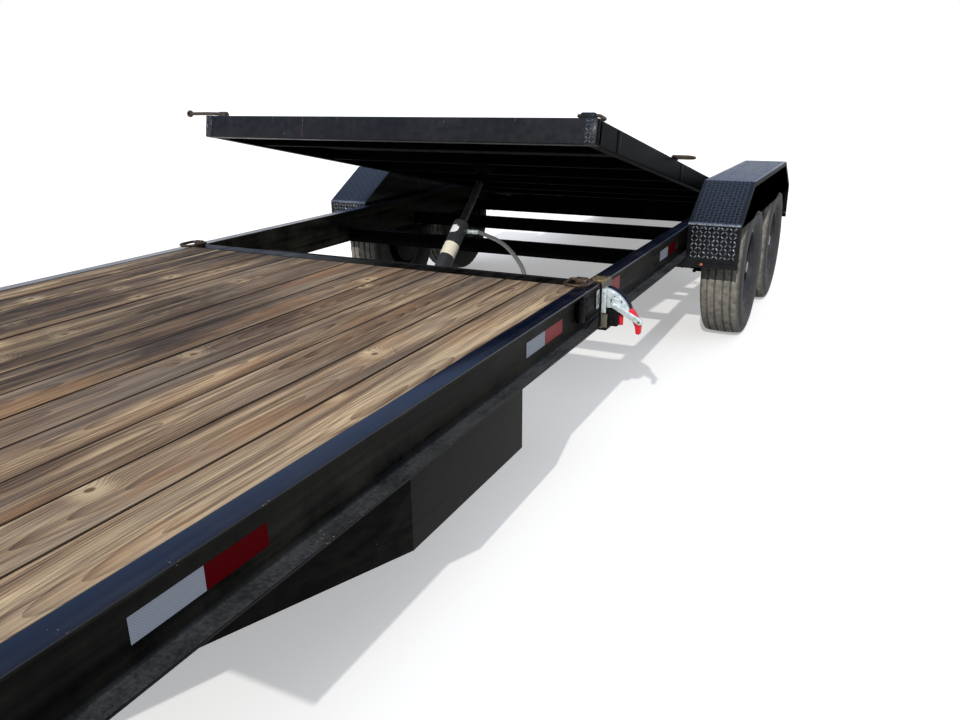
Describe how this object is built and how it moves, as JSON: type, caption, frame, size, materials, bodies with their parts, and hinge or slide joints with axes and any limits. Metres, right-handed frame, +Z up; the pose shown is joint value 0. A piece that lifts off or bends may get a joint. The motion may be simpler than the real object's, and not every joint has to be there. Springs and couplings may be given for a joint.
{
  "type": "tilt bed equipment trailer",
  "caption": "Flatbed trailer with a fixed wooden front deck and a long wooden bed that tilts to the ground behind, tandem axles, side fenders, an A-frame tongue and a jack.",
  "frame": {"origin": "under the middle of the jack's foot, on the ground", "axes": "+Y runs rearwards along the trailer, +X is the trailer's left side, +Z is up"},
  "size_m": [2.555, 9.9915, 1.2941],
  "materials": {
    "black_paint": "gloss",
    "dark_steel": "satin",
    "weathered_wood": "matte",
    "tyre_rubber": "matte",
    "wheel_paint": "satin",
    "zinc_plate": "satin",
    "rusty_steel": "matte",
    "chromed_rod": "polished",
    "hose_rubber": "satin",
    "lamp_lens": "gloss"
  },
  "bodies": {
    "root": {"rail_left": "black_paint", "rail_right": "black_paint", "front_header": "black_paint", "fixed_deck": "weathered_wood", "deck_edge": "black_paint", "crossmember_1": "black_paint", "crossmember_2": "black_paint", "crossmember_3": "black_paint", "crossmember_4": "black_paint", "pivot_shaft": "dark_steel", "tongue_left": "black_paint", "tongue_right": "black_paint", "tongue_cross": "black_paint", "coupler_mast": "black_paint", "coupler": "dark_steel", "jack": "dark_steel", "jack_leg": "zinc_plate", "axle_front": "dark_steel", "axle_rear": "dark_steel", "springs_left": "dark_steel", "springs_right": "dark_steel", "fender_left": "black_paint", "fender_right": "black_paint", "tail_lamp_left": "lamp_lens", "tail_lamp_right": "lamp_lens", "latch_post": "rusty_steel", "latch_bracket": "zinc_plate", "latch_lever": "zinc_plate", "latch_block": "dark_steel", "latch_housing": "dark_steel", "tie_ring_left": "rusty_steel", "tie_ring_right": "rusty_steel"},
    "tilt_bed": {"bed_deck": "weathered_wood", "bed_rail_left": "black_paint", "bed_rail_right": "black_paint", "bed_header": "dark_steel", "bed_tail": "black_paint", "bed_ring_front": "rusty_steel", "bed_eye_bar": "rusty_steel", "bed_ring_side_left": "rusty_steel", "bed_ring_side_right": "rusty_steel"},
    "cylinder": {"cylinder_tube": "dark_steel", "hose": "hose_rubber"},
    "cylinder_piston": {"cylinder_rod": "chromed_rod"},
    "wheel_fl": {"tyre_front_left": "tyre_rubber", "wheel_front_left": "wheel_paint"},
    "wheel_fr": {"tyre_front_right": "tyre_rubber", "wheel_front_right": "wheel_paint"},
    "wheel_rl": {"tyre_rear_left": "tyre_rubber", "wheel_rear_left": "wheel_paint"},
    "wheel_rr": {"tyre_rear_right": "tyre_rubber", "wheel_rear_right": "wheel_paint"}
  },
  "joints": [
    {"name": "bed_tilt", "type": "hinge", "parent": "root", "child": "tilt_bed", "pos_m": [0, 6.35, 0.55], "axis": [1, 0, 0], "range_deg": [0, 11.1]},
    {"name": "cylinder_swivel", "type": "hinge", "parent": "root", "child": "cylinder", "pos_m": [0, 3.75, 0.415], "axis": [-1, 0, 0], "range_deg": [0, 24.28], "deforming": ["hose"]},
    {"name": "rod_slide", "type": "slide", "parent": "cylinder", "child": "cylinder_piston", "axis": [0, -0.7568, -0.6536], "range_m": [0, 0.2294]},
    {"name": "spin_front_left", "type": "hinge", "parent": "root", "child": "wheel_fl", "pos_m": [1.165, 5.26, 0.389], "axis": [-1, 0, 0], "continuous": true},
    {"name": "spin_front_right", "type": "hinge", "parent": "root", "child": "wheel_fr", "pos_m": [-1.165, 5.26, 0.389], "axis": [-1, 0, 0], "continuous": true},
    {"name": "spin_rear_left", "type": "hinge", "parent": "root", "child": "wheel_rl", "pos_m": [1.165, 6.17, 0.389], "axis": [-1, 0, 0], "continuous": true},
    {"name": "spin_rear_right", "type": "hinge", "parent": "root", "child": "wheel_rr", "pos_m": [-1.165, 6.17, 0.389], "axis": [-1, 0, 0], "continuous": true}
  ],
  "couplings": [
    {"joint": "cylinder_swivel", "follows": "bed_tilt", "ratio": 2.1866},
    {"joint": "rod_slide", "follows": "bed_tilt", "m_per_rad": 1.1835}
  ]
}
